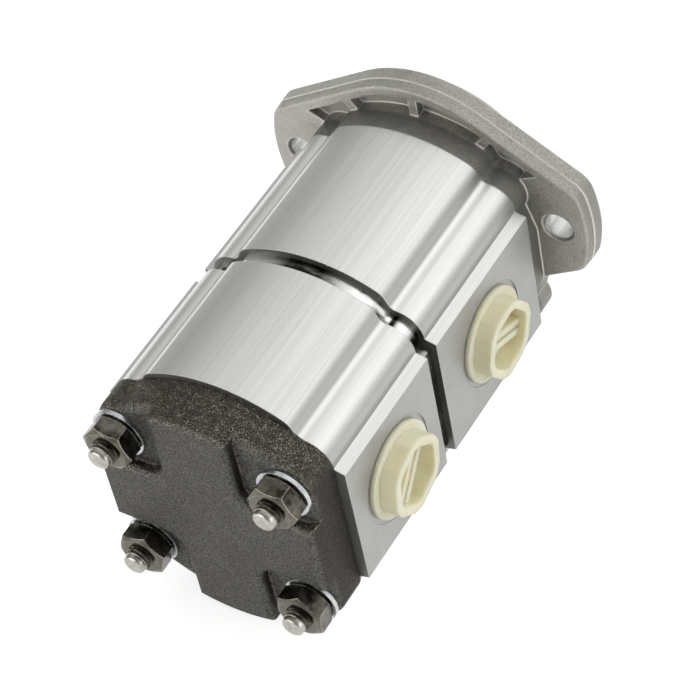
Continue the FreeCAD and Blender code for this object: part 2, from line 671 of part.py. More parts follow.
def cover_outline(sketch, inset):
    """Crowned outline with a lobe round each tie stud and straight sides between the lobes."""
    corners = []
    for side, top in ((1, -1), (1, 1), (-1, 1), (-1, -1)):
        right, up = ("" if side > 0 else "-"), ("" if top > 0 else "-")
        lobe, crown = cover_circles(inset, right, up)
        valley = tuple(f"({value})" for value in crossing(lobe, crown)) + ("",)
        end = (f"{right}(bolt_offset_x + {lobe[2]})", f"{up}{BOLT_Z}", "y")
        if side * top < 0:
            corners += [valley + (lobe,), end]
        else:
            corners += [end + (lobe,), valley + (crown,)]
    return draw(sketch, corners)


def cover_slab(name, front, thickness, inset):
    body = seated_body(name, y=front, z=MIDDLE)
    sketch = cover_outline(sketch_on(body, f"{name}_outline", "XZ_Plane"), inset)
    body.Tip = padded(body, sketch, f"{name}_pad", thickness)
    doc.recompute()
    valley = edges_at(body.Shape, *(f"({value})" for value in crossing(*cover_circles(inset))))
    return dressed(body, "Fillet", valley, Radius="cover_valley_radius")


def cross_outline(sketch):
    """Upright and bar of the raised cross, with rounded inner corners, longer than the cover."""
    radius = "island_inner_radius"
    arm, bar = "(bolt_offset_x - island_arm_gap)", f"({BOLT_Z} - island_bar_gap)"
    far_x, far_z = "(2 * body_half_width)", "(2 * body_half_height)"
    in_x, in_z = f"({arm} + {radius})", f"({bar} + {radius})"
    corners = []
    for side, top in ((1, -1), (1, 1), (-1, 1), (-1, -1)):
        right, up = ("" if side > 0 else "-"), ("" if top > 0 else "-")
        inner_arc = (f"{right}{in_x}", f"{up}{in_z}", f"-{radius}")
        upright = [
            (f"{right}{arm}", f"{up}{far_z}", "xy"),
            (f"{right}{arm}", f"{up}{in_z}", "y", inner_arc),
            (f"{right}{in_x}", f"{up}{bar}", "x"),
            (f"{right}{far_x}", f"{up}{bar}", "xy"),
        ]
        if side * top > 0:
            upright = [
                (f"{right}{far_x}", f"{up}{bar}", "xy"),
                (f"{right}{in_x}", f"{up}{bar}", "x", inner_arc),
                (f"{right}{arm}", f"{up}{in_z}", "y"),
                (f"{right}{arm}", f"{up}{far_z}", "xy"),
            ]
        corners += upright
    return draw(sketch, corners)


def rear_cover():
    """Sand-cast end cover: a thick crowned plate with a raised cross between four washer seats."""
    plate = cover_slab("cover_plate", COVER, "cover_seat_thickness", "0")
    doc.recompute()
    dressed(plate, "Fillet", rear_edges(plate.Shape, number(SEAT)), Radius="cover_edge_radius")
    full = "(cover_seat_thickness + cover_island_rise)"
    core = cover_slab("cover_core", COVER, full, "island_inset")
    body = seated_body("cover_cross", y=COVER, z=MIDDLE)
    sketch = cross_outline(sketch_on(body, "cover_cross_outline", "XZ_Plane"))
    body.Tip = padded(body, sketch, "cover_cross_pad", full)
    island = common("cover_island", [core, body])
    doc.recompute()
    top = number(f"({COVER} - {full})")
    island = rounded("cover_island_rounded", island, rear_edges(island.Shape, top), "island_edge_radius")
    holes = stud_holes("rear_cover", f"({COVER} - {full})", full, "(stud_radius + stud_hole_clearance)")
    holes += dowel_holes("rear_cover", f"({COVER} - dowel_depth)", "dowel_depth")
    casting = fuse("cover_casting_rear", [plate, island])
    keep(cut("rear_cover", casting, holes), "rear_cover")


def tie_studs():
    """Studs, nuts and washers that clamp the pump together."""
    length = f"({HUB} + stud_thread_depth - {NUT_FACE} + nut_height + stud_tip_reach)"
    tip = f"({NUT_FACE} - nut_height - stud_tip_reach)"
    grip = "(nut_height * 1.7320508)"

    def stud(index, x, z):
        item = turned(f"stud_{index}", [
            ("0", "0"),
            ("(stud_tip_radius - stud_tip_chamfer)", "0"),
            ("stud_tip_radius", "stud_tip_chamfer"),
            ("stud_tip_radius", "stud_tip_length"),
            ("(stud_radius - stud_tip_chamfer)", "stud_tip_length"),
            ("stud_radius", "(stud_tip_length + stud_tip_chamfer)"),
            ("stud_radius", length),
            ("0", length),
        ], x, tip, z)
        return keep(item, f"tie_stud_{index}")

    def washer(index, x, z):
        disc = rod(f"washer_disc_{index}", "washer_radius", "washer_thickness", x, NUT_FACE, z)
        hole = rod(f"washer_hole_{index}", "(stud_radius + stud_hole_clearance)", "washer_thickness",
                   x, NUT_FACE, z)
        return keep(cut(f"washer_{index}", disc, [hole]), f"stud_washer_{index}")

    def nut(index, x, z):
        rear = f"({NUT_FACE} - nut_height)"
        hexagon = doc.addObject("Part::Prism", f"nut_hexagon_{index}")
        hexagon.Polygon = 6
        bind(hexagon, Circumradius="nut_width / sqrt(3)", Height="nut_height")
        turn = FreeCAD.Rotation(FreeCAD.Vector(0, 0, 1), number(f"nut_turn_{index}"))
        place(hexagon, x, rear, z, ALONG_Y.multiply(turn))
        crown = cone(f"nut_crown_{index}", "nut_face_radius", f"(nut_face_radius + {grip})", "nut_height",
                     x, rear, z)
        base = cone(f"nut_base_{index}", f"(nut_face_radius + {grip})", "nut_face_radius", "nut_height",
                    x, rear, z)
        hole = rod(f"nut_thread_{index}", "stud_radius", "nut_height", x, rear, z)
        solid = common(f"nut_solid_{index}", [hexagon, crown, base])
        return keep(cut(f"nut_{index}", solid, [hole]), f"stud_nut_{index}")

    at_studs(stud)
    at_studs(washer)
    at_studs(nut)


def involute_outline(tooth_at):
    """Closed outline of a spur gear in its own XZ plane, with one tooth centred at an angle."""
    teeth = int(round(number("tooth_count")))
    pitch = number("axis_offset")
    module = 2 * pitch / teeth
    angle = math.radians(number("pressure_angle"))
    base = pitch * math.cos(angle)
    tip = number("bore_radius - gear_tip_clearance")
    root = pitch - number("root_depth") * module
    half_tooth = (math.pi * module - number("backlash")) / (4 * pitch)
    involute = math.tan(angle) - angle

    def half_angle(radius):
        roll = math.acos(min(1.0, base / radius))
        return half_tooth + involute - (math.tan(roll) - roll)

    def spot(radius, turn):
        return FreeCAD.Vector(radius * math.cos(turn), 0, radius * math.sin(turn))

    steps = 6
    radii = [base + (tip - base) * (step / (steps - 1)) ** 1.5 for step in range(steps)]
    edges = []
    for tooth in range(teeth):
        middle = math.radians(tooth_at) + 2 * math.pi * tooth / teeth
        after = middle + 2 * math.pi / teeth
        climb = [spot(radius, middle - half_angle(radius)) for radius in radii]
        fall = [spot(radius, middle + half_angle(radius)) for radius in reversed(radii)]
        foot_in = spot(root, middle - half_angle(base))
        foot_out = spot(root, middle + half_angle(base))
        next_in = spot(root, after - half_angle(base))
        edges.append(Part.makeLine(foot_in, climb[0]))
        edges.append(curve_through(climb))
        edges.append(Part.Arc(climb[-1], spot(tip, middle), fall[0]).toShape())
        edges.append(curve_through(fall))
        edges.append(Part.makeLine(fall[-1], foot_out))
        edges.append(Part.Arc(foot_out, spot(root, middle + math.pi / teeth), next_in).toShape())
    return Part.Wire(edges)


def curve_through(points):
    curve = Part.BSplineCurve()
    curve.interpolate(points)
    return curve.toShape()


def toothed_rim(name, width, station, axis, tooth_at):
    """Teeth of one gear: the formula's outline, extruded along the shaft."""
    outline = doc.addObject("Part::Feature", f"{name}_outline")
    outline.Shape = Part.Face(involute_outline(tooth_at))
    rim = doc.addObject("Part::Extrusion", f"{name}_rim")
    rim.Base = outline
    rim.DirMode = "Custom"
    rim.Dir = FreeCAD.Vector(0, 1, 0)
    rim.Solid = True
    bind(rim, LengthFwd=width)
    return place(rim, "0", station, axis)


def slot_tool(name, station, across):
    """Slot in a drive shaft's end for the coupling's tongue."""
    wide = "(tongue_width + 2 * coupling_play)"
    deep = "(tongue_reach + coupling_play)"
    long = "(2 * coupling_radius)"
    if across == "X":
        return box(name, (f"-{long} / 2", station, f"-{wide} / 2"), (long, deep, wide))
    return box(name, (f"-{wide} / 2", station, f"-{long} / 2"), (wide, deep, long))


def gear_shafts():
    """Drive and driven gears of both pumps, each one piece with its journals."""
    pumps = (("front", HUB, "front_body_length"), ("rear", PLATE_REAR, "rear_body_length"))
    for pump, front, length in pumps:
        rear, width, station = gear_span(front, length)
        driven_front = f"({front} - journal_end_gap)"
        driven_rear = f"({rear} + journal_end_gap)"
        journal = rod(f"{pump}_driven_journal", "journal_radius", f"({driven_front} - {driven_rear})",
                      y=driven_rear, z=DRIVEN_AXIS)
        rim = toothed_rim(f"{pump}_driven", width, station, DRIVEN_AXIS, 90 + 180 / number("tooth_count"))
        keep(fuse(f"{pump}_driven_gear", [rim, journal]), f"driven_gear_{pump}")
    drive_shaft_front()
    drive_shaft_rear()


def gear_span(front, length):
    rear = f"({front} - {length})"
    width = f"({length} - 2 * block_length - 4 * side_clearance)"
    return rear, width, f"({rear} + block_length + 2 * side_clearance)"


def drive_shaft_front():
    """Drive gear with its journals, seal land and keyed shaft end."""
    rear, width, station = gear_span(HUB, "front_body_length")
    land_rear = "(pilot_height - seal_inset - seal_width - seal_wall)"
    land_front = "(pilot_height + 1.2 * seal_inset)"
    shaft = turned("front_shaft", [
        ("0", rear),
        ("journal_radius", rear),
        ("journal_radius", land_rear),
        ("seal_land_radius", land_rear),
        ("seal_land_radius", land_front),
        ("shaft_radius", land_front),
        ("shaft_radius", "(shaft_reach - shaft_chamfer)"),
        ("(shaft_radius - shaft_chamfer)", "shaft_reach"),
        ("0", "shaft_reach"),
    ])
    rim = toothed_rim("front_drive", width, station, "0", 90)
    key_start = "(shaft_reach - key_inset - key_length)"
    keyway = box("keyway", ("-key_width / 2", key_start, "(shaft_radius - keyway_depth)"),
                 ("key_width", "key_length", "key_width"))
    slot = slot_tool("front_shaft_slot", rear, "X")
    keep(cut("front_drive_gear", fuse("front_drive_solid", [shaft, rim]), [keyway, slot]), "drive_gear_front")
    key = box("key", ("-key_width / 2", key_start, "(shaft_radius - keyway_depth)"),
              ("key_width", "key_length", "key_width"))
    keep(key, "shaft_key")


def drive_shaft_rear():
    """Rear drive gear, turned by the front shaft through the coupling."""
    rear, width, station = gear_span(PLATE_REAR, "rear_body_length")
    low = f"({rear} + journal_end_gap)"
    journal = rod("rear_drive_journal", "journal_radius", f"({PLATE_REAR} - {low})", y=low)
    rim = toothed_rim("rear_drive", width, station, "0", 90)
    slot = slot_tool("rear_shaft_slot", f"({PLATE_REAR} - tongue_reach - coupling_play)", "Z")
    keep(cut("rear_drive_gear", fuse("rear_drive_solid", [journal, rim]), [slot]), "drive_gear_rear")
    disc_length = "(plate_thickness - 2 * coupling_play)"
    disc_rear = f"({PLATE_REAR} + coupling_play)"
    disc = rod("coupling_disc", "coupling_radius", disc_length, y=disc_rear)
    span = "(1.8 * journal_radius)"
    front_corner = (f"-{span} / 2", f"({PLATE_FRONT} - coupling_play)", "-tongue_width / 2")
    front_tongue = box("front_tongue", front_corner, (span, "tongue_reach + coupling_play", "tongue_width"))
    rear_tongue = box("rear_tongue", ("-tongue_width / 2", f"({PLATE_REAR} - tongue_reach)", f"-{span} / 2"),
                      ("tongue_width", "tongue_reach + coupling_play", span))
    keep(fuse("coupling", [disc, front_tongue, rear_tongue]), "drive_coupling")


def block_seal_shape(name, depth, station):
    """Three-lobed seal path on a block's outer face, open towards the suction side."""
    outer, inner = [], []
    for end, axis in (("drive", "0"), ("driven", DRIVEN_AXIS)):
        wide = "(block_seal_radius + block_seal_width / 2)"
        narrow = "(block_seal_radius - block_seal_width / 2)"
        outer.append(rod(f"{name}_{end}_outer", wide, depth, y=station, z=axis))
        inner.append(rod(f"{name}_{end}_inner", narrow, depth, y=station, z=axis))
    ring = cut(f"{name}_rings", fuse(f"{name}_outers", outer), inner)
    open_side = box(f"{name}_open_side", ("-2 * bore_radius", station, "-4 * bore_radius"),
                    ("1.6 * bore_radius", depth, "6 * bore_radius"))
    return cut(name, ring, [open_side])


def bearing_block(name, low, outward):
    """Bearing block with two bushed bores; its seal groove faces away from the gears."""
    radius = "(bore_radius - block_clearance)"
    bush = "(journal_radius + bush_clearance + bush_wall)"
    solids, holes = [], []
    for end, axis in (("drive", "0"), ("driven", DRIVEN_AXIS)):
        solids.append(rod(f"{name}_{end}_solid", radius, "block_length", y=low, z=axis))
        holes.append(rod(f"{name}_{end}_bore", bush, "block_length", y=low, z=axis))
        bush_rear = f"({low} + bush_inset)"
        bush_length = "(block_length - 2 * bush_inset)"
        shell = rod(f"{name}_{end}_shell", bush, bush_length, y=bush_rear, z=axis)
        bore = rod(f"{name}_{end}_bush_bore", "(journal_radius + bush_clearance)", bush_length,
                   y=bush_rear, z=axis)
        keep(cut(f"{name}_{end}_bushing", shell, [bore]), f"{name}_{end}_bush")
    face = f"({low} + block_length)" if outward > 0 else low
    groove_low = f"({face} - block_seal_depth)" if outward > 0 else low
    holes.append(block_seal_shape(f"{name}_groove", "block_seal_depth", groove_low))
    keep(cut(f"{name}_solid", fuse(f"{name}_cylinders", solids), holes), name)
    seal_depth = "(block_seal_depth - backup_thickness + side_clearance)"
    if outward > 0:
        strip_low, seal_low = groove_low, f"({groove_low} + backup_thickness)"
    else:
        strip_low, seal_low = f"({low} + block_seal_depth - backup_thickness)", f"({low} - side_clearance)"
    keep(block_seal_shape(f"{name}_strip", "backup_thickness", strip_low), f"{name}_backup")
    keep(block_seal_shape(f"{name}_rubber", seal_depth, seal_low), f"{name}_seal")


def bearing_blocks():
    bodies = (("front", HUB, "front_body_length"), ("rear", PLATE_REAR, "rear_body_length"))
    for pump, front, length in bodies:
        rear = f"({front} - {length})"
        bearing_block(f"{pump}_pump_front_block", f"({front} - block_length - side_clearance)", 1)
        bearing_block(f"{pump}_pump_rear_block", f"({rear} + side_clearance)", -1)


def dowel_pins():
    joints = (
        ("front_cover_dowels", f"({HUB} - dowel_depth)", "(2 * dowel_depth)"),
        ("plate_dowels", f"({PLATE_REAR} - dowel_depth)", "(2 * dowel_depth + plate_thickness)"),
        ("rear_cover_dowels", f"({COVER} - dowel_depth)", "(2 * dowel_depth)"),
    )
    for node, rear, length in joints:
        pins = [
            rod(f"{node}_{word}", "dowel_radius", length, f"{side} * dowel_offset", rear, MIDDLE)
            for side, word in ((-1, "left"), (1, "right"))
        ]
        pair = doc.addObject("Part::Compound", node)
        pair.Links = pins
        keep(pair, node)


def hexagon_at(name, width, length, seat, rotation):
    """Six-sided prism from a point of a port's axis outwards."""
    item = doc.addObject("Part::Prism", name)
    item.Polygon = 6
    bind(item, Circumradius=f"{width} / sqrt(3)", Height=length)
    return place(item, *seat, rotation)


def port_plug(node, station, side, turn):
    """Moulded screw plug: thin flange, rounded six-sided head and a recess with two bars across."""
    rotation = ALONG_X if side > 0 else ALONG_MINUS_X
    spin = rotation.multiply(FreeCAD.Rotation(FreeCAD.Vector(0, 0, 1), number(turn)))
    face = f"({side} * (body_half_width - spotface_depth))"
    rise = "(plug_flange_thickness + plug_head_height)"
    seat = (face, station, MIDDLE)
    flange = rod(f"{node}_flange", "plug_flange_radius", "plug_flange_thickness", *seat, rotation)
    hexagon = hexagon_at(f"{node}_hexagon", "plug_head_width", rise, seat, spin)
    barrel = rod(f"{node}_barrel", "plug_corner_radius", rise, *seat, rotation)
    head = common(f"{node}_head", [hexagon, barrel])
    inner = (f"({face} - {side} * plug_thread_length)", station, MIDDLE)
    thread = rod(f"{node}_thread", "port_radius", "plug_thread_length", *inner, rotation)
    solid = fuse(f"{node}_solid", [flange, head, thread])

    floor = (f"({face} + {side} * ({rise} - plug_recess_depth))", station, MIDDLE)
    walls = hexagon_at(f"{node}_recess_walls", "plug_recess_width", "plug_recess_depth", floor, spin)
    corners = rod(f"{node}_recess_corners", "plug_recess_radius", "plug_recess_depth", *floor, rotation)
    recess = common(f"{node}_recess", [walls, corners])
    bars = []
    for index, offset in enumerate(("(plug_bar_gap / 2)", "(-plug_bar_gap / 2 - plug_bar)"), start=1):
        bar = doc.addObject("Part::Box", f"{node}_bar_{index}")
        depth = "plug_recess_depth - plug_bar_drop"
        bind(bar, Length="plug_bar", Width="2 * plug_recess_radius", Height=depth)
        bars.append(across_axis(bar, offset, "(-plug_recess_radius)", floor, spin))
    depth = f"(plug_thread_length + {rise} - plug_recess_depth - plug_floor)"
    hollow = rod(f"{node}_hollow", "plug_bore_radius", depth, *inner, rotation)
    keep(cut(f"{node}_plug", solid, [cut(f"{node}_recesses", recess, bars), hollow]), node)


def across_axis(item, along, sideways, seat, rotation):
    """Seat an object off a port's axis by two distances in its own turned frame."""
    place(item, *seat, rotation)
    first, second = rotation.multVec(FreeCAD.Vector(1, 0, 0)), rotation.multVec(FreeCAD.Vector(0, 1, 0))
    for axis, text in zip("xyz", seat):
        move = f"{getattr(first, axis):.9f} * {along} + {getattr(second, axis):.9f} * {sideways}"
        item.setExpression(f"Placement.Base.{axis}", bound(f"{text} + {move}"))
    return item


front_cover()
shaft_seal_parts()
front_seals = ("front_body_front_seal", "front_body_rear_seal")
pump_body("front_body", HUB, "front_body_length", FRONT_PORT, front_seals)
intermediate_plate()
rear_seals = ("rear_body_front_seal", "rear_body_rear_seal")
pump_body("rear_body", PLATE_REAR, "rear_body_length", REAR_PORT, rear_seals)
rear_cover()
tie_studs()
gear_shafts()
bearing_blocks()
dowel_pins()
for side, word in ((1, "right"), (-1, "left")):
    port_plug(f"front_{word}_port_plug", FRONT_PORT, side, "plug_turn_front")
    port_plug(f"rear_{word}_port_plug", REAR_PORT, side, "plug_turn_rear")

doc.recompute()
for item in doc.Objects:
    if "Invalid" in item.State or "Error" in item.State:
        raise RuntimeError(f"{item.Name} failed: {item.State}")
for node, item in parts.items():
    if item.Shape.isNull() or not item.Shape.isValid():
        raise RuntimeError(f"{node} has no valid shape")

os.makedirs("parts", exist_ok=True)
for node, item in parts.items():
    item.Shape.exportStep(f"parts/{node}.step")
    print(f"{node}: {len(item.Shape.Solids)} solid, {item.Shape.Volume / 1000:.2f} cm3")
print(f"{len(parts)} nodes")
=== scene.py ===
import json
import math

import bmesh
import bpy
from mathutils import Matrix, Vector


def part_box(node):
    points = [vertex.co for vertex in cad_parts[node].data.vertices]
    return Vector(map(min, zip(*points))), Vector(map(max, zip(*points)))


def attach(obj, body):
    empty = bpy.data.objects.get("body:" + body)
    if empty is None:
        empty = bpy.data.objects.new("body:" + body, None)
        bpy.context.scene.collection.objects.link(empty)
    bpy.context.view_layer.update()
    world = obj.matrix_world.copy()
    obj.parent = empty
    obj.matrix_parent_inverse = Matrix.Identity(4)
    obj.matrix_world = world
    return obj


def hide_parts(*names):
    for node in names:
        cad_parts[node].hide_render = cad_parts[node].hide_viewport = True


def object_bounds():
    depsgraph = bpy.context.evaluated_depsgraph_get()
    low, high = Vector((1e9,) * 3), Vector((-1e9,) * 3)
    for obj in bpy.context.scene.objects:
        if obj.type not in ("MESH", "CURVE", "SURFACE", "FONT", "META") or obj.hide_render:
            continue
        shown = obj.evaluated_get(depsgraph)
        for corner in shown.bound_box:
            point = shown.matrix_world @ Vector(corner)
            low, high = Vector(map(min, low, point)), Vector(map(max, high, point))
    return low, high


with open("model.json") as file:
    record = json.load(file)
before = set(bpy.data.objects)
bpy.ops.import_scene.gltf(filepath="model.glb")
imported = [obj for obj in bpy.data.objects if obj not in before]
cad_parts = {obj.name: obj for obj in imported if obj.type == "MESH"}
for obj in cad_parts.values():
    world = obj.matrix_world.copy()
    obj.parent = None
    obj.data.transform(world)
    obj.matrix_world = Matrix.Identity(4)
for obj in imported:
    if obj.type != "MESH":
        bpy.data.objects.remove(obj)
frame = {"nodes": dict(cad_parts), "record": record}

cad_low, cad_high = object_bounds()

# Studs, in metres from their rear end: turned point, shoulder, lead-in and thread
TURNED_TIP = 0.0026
TIP_RADIUS = 0.0041
SHOULDER = 0.00002
LEAD_IN_STEP = 0.0002
LEAD_IN_SLOPE = 0.9
THREAD_END = 0.0090
THREAD_PITCH = 0.0015
THREAD_DEPTH = 0.00088
FRONT_CHAMFER = 0.0008

# Shares of the thread's half pitch that its crest and its sloping flank take
CREST_SHARE = 0.14
FLANK_SHARE = 0.72

# Depth and radius along the domed end of a stud, up to the shoulder
DOME = [(0.00003, 0.0014), (0.00014, 0.0025), (0.00036, 0.0033), (0.0007, 0.0038),
        (0.0011, TIP_RADIUS), (TURNED_TIP, TIP_RADIUS)]

# Faces round a stud, rows along its thread, and the angle from which its edges are sharp
STUD_FACES = 72
THREAD_ROWS = 56
SHARP_ANGLE = math.radians(50)

# Front cover: the flange's rear face along Y, and its bolt holes
FLANGE_REAR = -0.010
BOLT_HOLE_X = 0.0532
BOLT_HOLE_RADIUS = 0.0056

# Bodies: where the crown ends and the stud bosses begin, and what the cutter marks curve round
CROWN_EDGE = 0.0282
CUTTER_CENTRE = (0.0, -0.05, 0.35)

# Stage: half the paper's width, its gap under the pump, its colour and its glow where it is seen
FLOOR_HALF = 40.0
FLOOR_GAP = 0.0004
PAPER_COLOR = (0.78, 0.78, 0.775, 1.0)
PAPER_GLOW = 0.62
ROOM_COLOR = (1.0, 1.0, 0.985, 1.0)
PUMP_MIDDLE = Vector((0.0, -0.085, -0.0155))

# Camera: the photograph's width and the focal length in its pixels, and the sensor in millimetres
FRAME_PIXELS = 700
FOCAL_PIXELS = 2707.14
SENSOR_WIDTH = 36.0


class Graph:
    """A node tree whose nodes are added one after the other."""

    def __init__(self, tree):
        self.tree = tree

    def node(self, kind, **settings):
        made = self.tree.nodes.new(kind)
        for key, value in settings.items():
            setattr(made, key, value)
        return made

    def link(self, out, into):
        self.tree.links.new(out, into)

    def feed(self, socket, value):
        """Link an output to a socket, or write a plain number or colour into it."""
        if isinstance(value, bpy.types.NodeSocket):
            self.link(value, socket)
        else:
            socket.default_value = value

    def math(self, operation, first, second=0.0):
        made = self.node("ShaderNodeMath", operation=operation)
        self.feed(made.inputs[0], first)
        self.feed(made.inputs[1], second)
        return made.outputs[0]

    def vector_math(self, operation, first, second=None):
        """Number that an operation on one or two vectors gives."""
        made = self.node("ShaderNodeVectorMath", operation=operation)
        self.link(first, made.inputs[0])
        if second is not None:
            self.feed(made.inputs[1], second)
        return made.outputs["Value"]

    def ramp(self, value, low, high, first=0.0, last=1.0, **settings):
        """Map low..high of a value to first..last, held beyond."""
        made = self.node("ShaderNodeMapRange", clamp=True, **settings)
        self.feed(made.inputs["Value"], value)
        for name, number in (("From Min", low), ("From Max", high), ("To Min", first), ("To Max", last)):
            made.inputs[name].default_value = number
        return made.outputs["Result"]


class Shader(Graph):
    """A finish of the pump, with its pattern laid out in the pump's own frame."""

    def __init__(self, name):
        self.material = bpy.data.materials.new(name)
        self.material.use_nodes = True
        super().__init__(self.material.node_tree)
        self.surface = self.tree.nodes["Principled BSDF"]
        self.place = self.node("ShaderNodeTexCoord").outputs["Object"]
        self.normal = self.node("ShaderNodeNewGeometry").outputs["Normal"]

    def stretched(self, scale):
        """The place on the pump, scaled to so many units per metre along X, Y and Z."""
        made = self.node("ShaderNodeMapping")
        self.link(self.place, made.inputs["Vector"])
        made.inputs["Scale"].default_value = scale
        return made.outputs["Vector"]

    def noise(self, per_metre, detail, roughness):
        """Noise with so many cells per metre; three numbers stretch it along X, Y and Z."""
        scale = per_metre if isinstance(per_metre, tuple) else (per_metre, per_metre, per_metre)
        made = self.node("ShaderNodeTexNoise")
        self.link(self.stretched(scale), made.inputs["Vector"])
        made.inputs["Scale"].default_value = 1.0
        made.inputs["Detail"].default_value = detail
        made.inputs["Roughness"].default_value = roughness
        return made.outputs["Fac"]

    def streaks(self, distance, per_metre):
        """Irregular fine lines, one after the other along a distance in metres."""
        made = self.node("ShaderNodeTexNoise", noise_dimensions="1D")
        self.feed(made.inputs["W"], self.math("MULTIPLY", distance, per_metre))
        made.inputs["Scale"].default_value = 1.0
        made.inputs["Detail"].default_value = 2.0
        return made.outputs["Fac"]

    def arcs(self, centre, per_metre):
        """Cutter marks: streaks at growing distances from a far centre."""
        return self.streaks(self.vector_math("DISTANCE", self.place, centre), per_metre)

    def rings(self, per_metre):
        """Turning marks round the drive shaft's axis."""
        return self.streaks(self.vector_math("LENGTH", self.stretched((1, 0, 1))), per_metre)

    def blend(self, factor, first, second):
        """Mix of two colours."""
        made = self.node("ShaderNodeMix", data_type="RGBA")
        self.feed(made.inputs["Factor"], factor)
        for socket, value in ((made.inputs[6], first), (made.inputs[7], second)):
            self.feed(socket, (*value, 1.0) if isinstance(value, tuple) else value)
        return made.outputs[2]

    def between(self, factor, first, second):
        """Mix of two numbers."""
        made = self.node("ShaderNodeMix", data_type="FLOAT")
        self.feed(made.inputs["Factor"], factor)
        self.feed(made.inputs[2], first)
        self.feed(made.inputs[3], second)
        return made.outputs[0]

    def parts(self, vector):
        """X, Y and Z of a vector."""
        made = self.node("ShaderNodeSeparateXYZ")
        self.link(vector, made.inputs[0])
        return made.outputs

    def bump(self, height, distance, strength, base=None):
        """Relief as deep as a distance in metres, on top of a base normal."""
        made = self.node("ShaderNodeBump")
        self.feed(made.inputs["Height"], height)
        made.inputs["Distance"].default_value = distance
        made.inputs["Strength"].default_value = strength
        if base is not None:
            self.link(base, made.inputs["Normal"])
        return made.outputs["Normal"]

    def rounded(self, radius):
        """Normal that turns gently over sharp edges, within a radius in metres."""
        made = self.node("ShaderNodeBevel", samples=6)
        made.inputs["Radius"].default_value = radius
        return made.outputs[0]

    def edge(self, rounded, low=0.02, high=0.25):
        """1 along a solid's sharp edges, from its rounded normal."""
        agreement = self.vector_math("DOT_PRODUCT", rounded, self.normal)
        return self.ramp(self.math("SUBTRACT", 1.0, agreement), low, high)

    def finish(self, color, rough, metallic, normal, **constants):
        """Fill the surface's sockets; each further name is a socket with _ for its spaces."""
        self.feed(self.surface.inputs["Base Color"], color)
        self.feed(self.surface.inputs["Roughness"], rough)
        self.surface.inputs["Metallic"].default_value = metallic
        self.link(normal, self.surface.inputs["Normal"])
        for key, value in constants.items():
            self.surface.inputs[key.replace("_", " ")].default_value = value
        return self.material


def extruded_aluminium():
    """Bright extrusion with die lines along the shaft; painted shade on the steep flanks and the cut end
    faces, painted highlight on the bosses and along sharp edges; cut faces are matt.
    """
    s = Shader("extruded_aluminium")
    broad = s.noise((700, 4, 700), 4.0, 0.6)
    fine = s.noise((3600, 12, 3600), 2.0, 0.6)
    bundles = s.noise((130, 3, 130), 3.0, 0.6)
    scratches = s.noise((2600, 70, 2600), 2.0, 0.6)
    cloud = s.noise(90, 5.0, 0.6)
    arcs = s.arcs(CUTTER_CENTRE, 1500)
    lines = s.math("ADD", s.math("MULTIPLY", broad, 0.55), s.math("MULTIPLY", fine, 0.45))

    side = s.parts(s.normal)
    sideways = s.math("ABSOLUTE", side["X"])
    cut = s.ramp(s.math("ABSOLUTE", side["Y"]), 0.6, 0.9)
    milled = s.math("MAXIMUM", cut, s.ramp(sideways, 0.996, 0.999))
    off_middle = s.math("ABSOLUTE", s.parts(s.place)["X"])
    # Painted highlight: the stud bosses beside the crown lighter than the crown
    painted_boss_highlight = s.ramp(off_middle, CROWN_EDGE - 0.0005, CROWN_EDGE + 0.003)

    skin = s.blend(s.ramp(lines, 0.34, 0.66), (0.60, 0.60, 0.588), (0.73, 0.73, 0.718))
    skin = s.blend(s.ramp(bundles, 0.48, 0.72, 0.0, 0.35), skin, (0.53, 0.53, 0.515))
    skin = s.blend(s.math("MULTIPLY", painted_boss_highlight, 0.35), skin, (0.86, 0.86, 0.85))
    # Painted shade: steep flanks, turned sideways, darker
    skin = s.blend(s.ramp(sideways, 0.67, 0.86, 0.0, 0.85), skin, (0.35, 0.35, 0.342))
    skin = s.blend(s.ramp(scratches, 0.70, 0.76, 0.0, 0.5), skin, (0.34, 0.34, 0.325))

    flat = s.blend(s.ramp(cloud, 0.35, 0.65), (0.35, 0.35, 0.34), (0.41, 0.41, 0.40))
    flat = s.blend(s.ramp(arcs, 0.35, 0.65, 0.0, 0.35), flat, (0.48, 0.48, 0.47))
    # Painted shade: cut end faces, facing along the shaft, darker than the port faces
    flat = s.blend(s.math("MULTIPLY", cut, 0.8), flat, (0.20, 0.193, 0.175))

    rounded = s.rounded(0.0004)
    color = s.blend(milled, skin, flat)
    # Painted highlight along the sharp edges
    color = s.blend(s.math("MULTIPLY", s.edge(rounded), 0.6), color, (0.86, 0.86, 0.845))
    rough = s.between(milled, s.ramp(lines, 0.3, 0.7, 0.40, 0.26), s.ramp(cloud, 0.3, 0.7, 0.46, 0.54))
    relief = s.math("MULTIPLY", lines, s.math("SUBTRACT", 1.0, milled))
    normal = s.bump(relief, 0.00004, 0.7, rounded)
    normal = s.bump(s.math("MULTIPLY", arcs, milled), 0.000012, 0.5, normal)
    return s.finish(color, rough, 0.95, normal)


